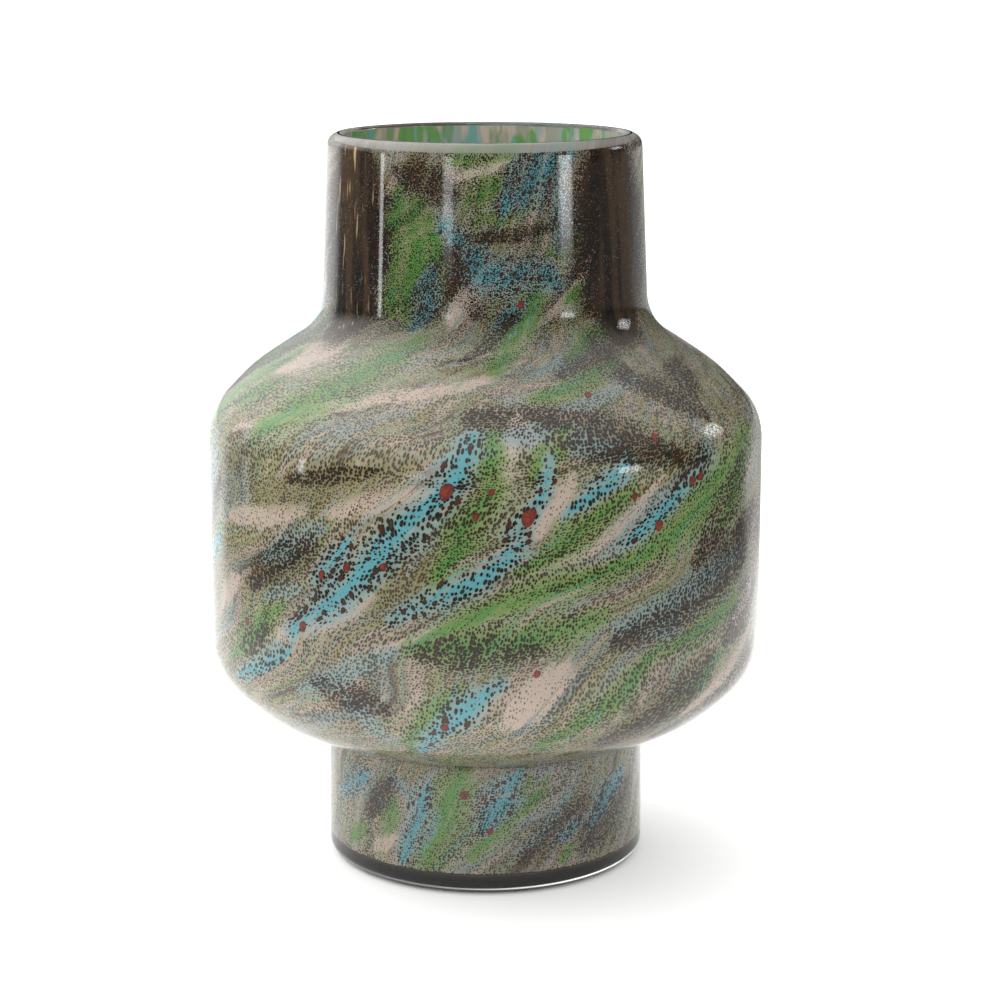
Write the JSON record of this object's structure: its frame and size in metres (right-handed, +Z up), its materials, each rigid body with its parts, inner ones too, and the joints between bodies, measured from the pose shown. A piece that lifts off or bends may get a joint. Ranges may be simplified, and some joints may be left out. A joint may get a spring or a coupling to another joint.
{
  "type": "vase",
  "caption": "Hand-blown glass vase with a straight neck, a broad round body and a cylindrical foot, in streaked and speckled colours under clear glass.",
  "frame": {"origin": "centre of the base, at the height of the ring that the vase stands on", "axes": "+Z up along the axis of the vase, through the mouth; -Y towards the viewer, the side that the picture shows; +X to the viewer's right"},
  "size_m": [0.1968, 0.1968, 0.2603],
  "materials": {
    "clear_glass": "polished, thick and clear",
    "bronze_veil": "dark metallic brown, broken into specks",
    "rust_glass": "opaque rust-red chips",
    "lining_glass": "opaque, streaky pinkish taupe",
    "green_glass": "opaque leaf green",
    "turquoise_glass": "opaque turquoise"
  },
  "bodies": {
    "root": {"clear_casing": "clear_glass", "speckle_veil": "bronze_veil", "rust_chips": "rust_glass", "streaked_lining": "lining_glass", "green_streaks": "green_glass", "turquoise_streaks": "turquoise_glass"}
  },
  "joints": []
}
